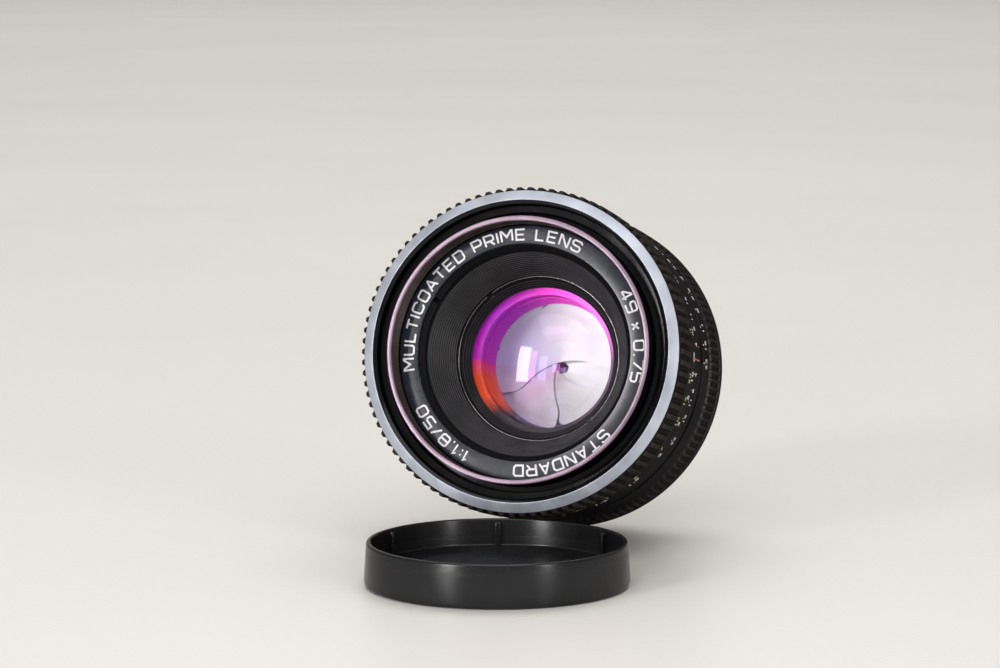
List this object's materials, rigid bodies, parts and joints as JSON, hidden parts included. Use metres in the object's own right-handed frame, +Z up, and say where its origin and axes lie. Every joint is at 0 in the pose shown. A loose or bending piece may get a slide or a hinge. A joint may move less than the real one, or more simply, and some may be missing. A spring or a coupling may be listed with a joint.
{
  "type": "prime camera lens",
  "caption": "Manual-focus standard prime lens with a fluted focusing ring, stop ring, leaf iris and threaded camera mount, propped on its own push-on rear cap.",
  "frame": {"origin": "on the table, under the middle of the whole object's box", "axes": "+Z up; the optical axis lies in the YZ plane and the front of the lens looks along -Y and a little up; +X to the right as seen from the front"},
  "size_m": [0.0622, 0.1018, 0.0689],
  "materials": {
    "black_anodised": "semi-gloss black anodised aluminium with white, yellow-green and red filled engraving",
    "satin_bevel": "satin turned bevel, lightly worn",
    "name_plate": "smooth blue-black with white filled engraving",
    "baffle_black": "fine grooved flat black",
    "coated_glass": "polished optical glass with magenta multi-layer coating",
    "brass": "fine turned and greased",
    "bright_steel": "bright steel",
    "blued_steel": "blackened steel",
    "blade_steel": "matt grey spring steel",
    "cap_plastic": "moulded semi-gloss black plastic"
  },
  "bodies": {
    "barrel": {"fixed_barrel": "black_anodised", "depth_of_field_ring": "black_anodised", "index_set_screw_1": "blued_steel", "index_set_screw_2": "blued_steel", "index_set_screw_3": "blued_steel", "click_ball": "bright_steel", "click_spring": "bright_steel", "mount_plate": "black_anodised", "mount_screw_1": "bright_steel", "mount_screw_2": "bright_steel", "mount_screw_3": "bright_steel", "pin_bracket": "bright_steel", "pin_spring": "bright_steel"},
    "optics": {"filter_barrel": "black_anodised", "name_ring": "name_plate", "baffle_cone": "baffle_black", "front_retaining_ring": "baffle_black", "front_element": "coated_glass", "second_element": "coated_glass", "third_element": "coated_glass", "fourth_element": "coated_glass", "fifth_element": "coated_glass", "sixth_element": "coated_glass", "element_spacer": "baffle_black", "lens_block": "black_anodised", "guide_key_1": "brass", "guide_key_2": "brass", "rear_cell": "black_anodised", "rear_retaining_ring": "baffle_black", "diaphragm_plate": "baffle_black"},
    "focus_ring": {"front_bevel_ring": "satin_bevel", "focus_grip": "black_anodised", "focus_sleeve": "black_anodised", "focus_helicoid": "brass"},
    "aperture_ring": {"aperture_ring": "black_anodised", "aperture_fork": "bright_steel"},
    "cam_ring": {"cam_ring": "brass"},
    "stop_down_pin": {"stop_down_pin": "bright_steel"},
    "mode_selector": {"mode_selector": "black_anodised"},
    "rear_cap": {"rear_cap": "cap_plastic"},
    "blade_1": {"iris_blade_1": "blade_steel"},
    "blade_2": {"iris_blade_2": "blade_steel"},
    "blade_3": {"iris_blade_3": "blade_steel"},
    "blade_4": {"iris_blade_4": "blade_steel"},
    "blade_5": {"iris_blade_5": "blade_steel"},
    "blade_6": {"iris_blade_6": "blade_steel"}
  },
  "joints": [
    {"name": "focus_turn", "type": "hinge", "parent": "optics", "child": "focus_ring", "pos_m": [0, 0.0218, 0.03431], "axis": [0, -0.9758, 0.2186], "range_deg": [0, 296]},
    {"name": "optics_travel", "type": "slide", "parent": "barrel", "child": "optics", "axis": [0, -0.9758, 0.2186], "range_m": [0, 0.01041]},
    {"name": "aperture_turn", "type": "hinge", "parent": "barrel", "child": "aperture_ring", "pos_m": [0, 0.0218, 0.03431], "axis": [0, 0.9758, -0.2186], "range_deg": [0, 47]},
    {"name": "cam_turn", "type": "hinge", "parent": "optics", "child": "cam_ring", "pos_m": [0, 0.0218, 0.03431], "axis": [0, 0.9758, -0.2186], "range_deg": [0, 47.05]},
    {"name": "stop_down", "type": "slide", "parent": "barrel", "child": "stop_down_pin", "axis": [0, -0.9758, 0.2186], "range_m": [0, 0.0025], "stiffness_N_per_m": 200, "springref_m": -0.003, "deforming": ["pin_spring"]},
    {"name": "mode_select", "type": "hinge", "parent": "barrel", "child": "mode_selector", "pos_m": [0, 0.0218, 0.03431], "axis": [0, -0.9758, 0.2186], "range_deg": [0, 12]},
    {"name": "cap_slide", "type": "slide", "parent": "barrel", "child": "rear_cap", "axis": [0, -1, 0], "range_m": [0, 0.06]},
    {"name": "blade_1_swing", "type": "hinge", "parent": "optics", "child": "blade_1", "pos_m": [0.0172, 0.03351, 0.03169], "axis": [0, 0.9758, -0.2186], "range_deg": [0, 31.55]},
    {"name": "blade_2_swing", "type": "hinge", "parent": "optics", "child": "blade_2", "pos_m": [0.0086, 0.03676, 0.04622], "axis": [0, 0.9758, -0.2186], "range_deg": [0, 31.55]},
    {"name": "blade_3_swing", "type": "hinge", "parent": "optics", "child": "blade_3", "pos_m": [-0.0086, 0.03676, 0.04622], "axis": [0, 0.9758, -0.2186], "range_deg": [0, 31.55]},
    {"name": "blade_4_swing", "type": "hinge", "parent": "optics", "child": "blade_4", "pos_m": [-0.0172, 0.03351, 0.03169], "axis": [0, 0.9758, -0.2186], "range_deg": [0, 31.55]},
    {"name": "blade_5_swing", "type": "hinge", "parent": "optics", "child": "blade_5", "pos_m": [-0.0086, 0.03025, 0.01715], "axis": [0, 0.9758, -0.2186], "range_deg": [0, 31.55]},
    {"name": "blade_6_swing", "type": "hinge", "parent": "optics", "child": "blade_6", "pos_m": [0.0086, 0.03025, 0.01715], "axis": [0, 0.9758, -0.2186], "range_deg": [0, 31.55]}
  ],
  "couplings": [
    {"joint": "optics_travel", "follows": "focus_turn", "m_per_rad": 0.0020131},
    {"joint": "cam_turn", "follows": "aperture_turn", "ratio": 1},
    {"joint": "blade_1_swing", "follows": "aperture_turn", "ratio": 0.67021},
    {"joint": "blade_2_swing", "follows": "aperture_turn", "ratio": 0.67021},
    {"joint": "blade_3_swing", "follows": "aperture_turn", "ratio": 0.67021},
    {"joint": "blade_4_swing", "follows": "aperture_turn", "ratio": 0.67021},
    {"joint": "blade_5_swing", "follows": "aperture_turn", "ratio": 0.67021},
    {"joint": "blade_6_swing", "follows": "aperture_turn", "ratio": 0.67021}
  ]
}
